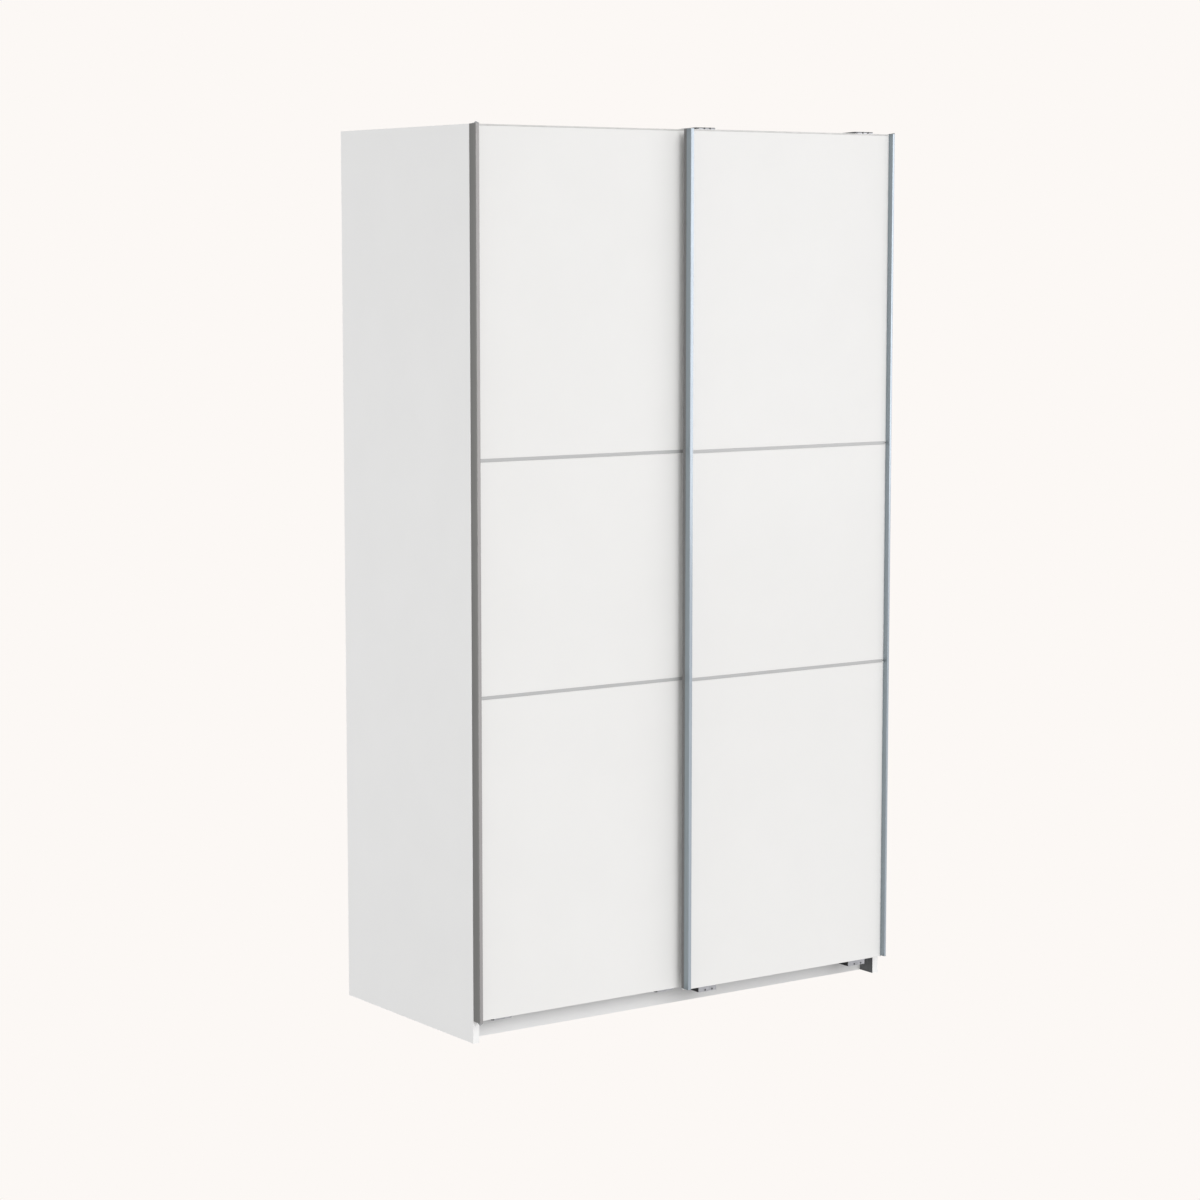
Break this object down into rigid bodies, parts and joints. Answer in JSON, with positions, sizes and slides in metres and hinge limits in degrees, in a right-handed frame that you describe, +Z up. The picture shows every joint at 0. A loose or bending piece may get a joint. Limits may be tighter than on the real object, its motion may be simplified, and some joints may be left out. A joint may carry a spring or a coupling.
{
  "type": "sliding door wardrobe",
  "caption": "White wardrobe with overlay doors that slide past each other on a top track, aluminium edge handles, and a graphite interior with partition, shelves and rail.",
  "frame": {"origin": "middle of the object's footprint on the floor, with both doors closed", "axes": "+Z up, +X to the right of a person facing the doors, +Y from the doors to the back"},
  "size_m": [1.176, 0.6036, 2.0345],
  "materials": {
    "carcass_board": "chipboard with white melamine outside, matt; the sides' inner faces are graphite",
    "interior_board": "graphite melamine faced chipboard with a fine linen print, matt",
    "door_board": "white foil faced fibreboard, matt",
    "hardboard_back": "hardboard, graphite towards the inside, bare brown behind",
    "aluminium_profile": "satin anodised, drawn lengthwise",
    "zinc_steel": "bright zinc plated sheet steel",
    "chrome_tube": "chromed steel tube",
    "black_plastic": "moulded, fine grain",
    "white_plastic": "moulded nylon, slightly worn on the tread",
    "grey_plastic": "extruded or moulded, satin"
  },
  "bodies": {
    "carcass": {"side_panel_left": "carcass_board", "side_panel_right": "carcass_board", "centre_partition": "interior_board", "top_panel": "interior_board", "bottom_panel": "interior_board", "plinth_front": "carcass_board", "plinth_rear": "carcass_board", "back_panel_left": "hardboard_back", "back_panel_right": "hardboard_back", "back_joiner_strip": "grey_plastic", "hat_shelf": "interior_board", "shelf_1": "interior_board", "shelf_2": "interior_board", "shelf_3": "interior_board", "shelf_4": "interior_board", "hanging_rail": "chrome_tube", "rail_bracket_left": "zinc_steel", "rail_bracket_right": "zinc_steel", "top_track": "aluminium_profile", "bottom_guide_rail": "aluminium_profile", "track_stop_front_left": "black_plastic", "track_stop_front_right": "black_plastic", "track_stop_rear_left": "black_plastic", "track_stop_rear_right": "black_plastic"},
    "rear_door": {"rear_door_profile_left": "aluminium_profile", "rear_door_profile_right": "aluminium_profile", "rear_door_board_bottom": "door_board", "rear_door_board_middle": "door_board", "rear_door_board_top": "door_board", "rear_door_divider_lower": "aluminium_profile", "rear_door_divider_upper": "aluminium_profile", "rear_door_hanger_left": "zinc_steel", "rear_door_hanger_right": "zinc_steel", "rear_door_axle_left": "zinc_steel", "rear_door_axle_right": "zinc_steel", "rear_door_guide_left": "zinc_steel", "rear_door_guide_right": "zinc_steel"},
    "rear_door_roller_left": {"rear_door_roller_left": "white_plastic"},
    "rear_door_guide_wheel_left": {"rear_door_guide_wheel_left": "white_plastic"},
    "rear_door_roller_right": {"rear_door_roller_right": "white_plastic"},
    "rear_door_guide_wheel_right": {"rear_door_guide_wheel_right": "white_plastic"},
    "front_door": {"front_door_profile_left": "aluminium_profile", "front_door_profile_right": "aluminium_profile", "front_door_board_bottom": "door_board", "front_door_board_middle": "door_board", "front_door_board_top": "door_board", "front_door_divider_lower": "aluminium_profile", "front_door_divider_upper": "aluminium_profile", "front_door_hanger_left": "zinc_steel", "front_door_hanger_right": "zinc_steel", "front_door_axle_left": "zinc_steel", "front_door_axle_right": "zinc_steel", "front_door_guide_left": "zinc_steel", "front_door_guide_right": "zinc_steel"},
    "front_door_roller_left": {"front_door_roller_left": "white_plastic"},
    "front_door_guide_wheel_left": {"front_door_guide_wheel_left": "white_plastic"},
    "front_door_roller_right": {"front_door_roller_right": "white_plastic"},
    "front_door_guide_wheel_right": {"front_door_guide_wheel_right": "white_plastic"}
  },
  "joints": [
    {"name": "rear_door_slide", "type": "slide", "parent": "carcass", "child": "rear_door", "axis": [1, 0, 0], "range_m": [0, 0.576]},
    {"name": "rear_door_roller_left_turn", "type": "hinge", "parent": "rear_door", "child": "rear_door_roller_left", "pos_m": [-0.5275, -0.22915, 1.9964], "axis": [0, 1, 0], "continuous": true},
    {"name": "rear_door_guide_wheel_left_turn", "type": "hinge", "parent": "rear_door", "child": "rear_door_guide_wheel_left", "pos_m": [-0.513, -0.22945, 0.0554], "axis": [0, 0, 1], "continuous": true},
    {"name": "rear_door_roller_right_turn", "type": "hinge", "parent": "rear_door", "child": "rear_door_roller_right", "pos_m": [-0.062, -0.22915, 1.9964], "axis": [0, 1, 0], "continuous": true},
    {"name": "rear_door_guide_wheel_right_turn", "type": "hinge", "parent": "rear_door", "child": "rear_door_guide_wheel_right", "pos_m": [-0.061, -0.22945, 0.0554], "axis": [0, 0, 1], "continuous": true},
    {"name": "front_door_slide", "type": "slide", "parent": "carcass", "child": "front_door", "axis": [1, 0, 0], "range_m": [-0.5545, 0.0215]},
    {"name": "front_door_roller_left_turn", "type": "hinge", "parent": "front_door", "child": "front_door_roller_left", "pos_m": [0.027, -0.19615, 1.9964], "axis": [0, 1, 0], "continuous": true},
    {"name": "front_door_guide_wheel_left_turn", "type": "hinge", "parent": "front_door", "child": "front_door_guide_wheel_left", "pos_m": [0.0415, -0.21045, 0.0554], "axis": [0, 0, 1], "continuous": true},
    {"name": "front_door_roller_right_turn", "type": "hinge", "parent": "front_door", "child": "front_door_roller_right", "pos_m": [0.4925, -0.19615, 1.9964], "axis": [0, 1, 0], "continuous": true},
    {"name": "front_door_guide_wheel_right_turn", "type": "hinge", "parent": "front_door", "child": "front_door_guide_wheel_right", "pos_m": [0.4935, -0.21045, 0.0554], "axis": [0, 0, 1], "continuous": true}
  ],
  "couplings": [
    {"joint": "rear_door_roller_left_turn", "follows": "rear_door_slide", "rad_per_m": 84.746},
    {"joint": "rear_door_guide_wheel_left_turn", "follows": "rear_door_slide", "rad_per_m": 125},
    {"joint": "rear_door_roller_right_turn", "follows": "rear_door_slide", "rad_per_m": 84.746},
    {"joint": "rear_door_guide_wheel_right_turn", "follows": "rear_door_slide", "rad_per_m": 125},
    {"joint": "front_door_roller_left_turn", "follows": "front_door_slide", "rad_per_m": 84.746},
    {"joint": "front_door_guide_wheel_left_turn", "follows": "front_door_slide", "rad_per_m": 125},
    {"joint": "front_door_roller_right_turn", "follows": "front_door_slide", "rad_per_m": 84.746},
    {"joint": "front_door_guide_wheel_right_turn", "follows": "front_door_slide", "rad_per_m": 125}
  ]
}
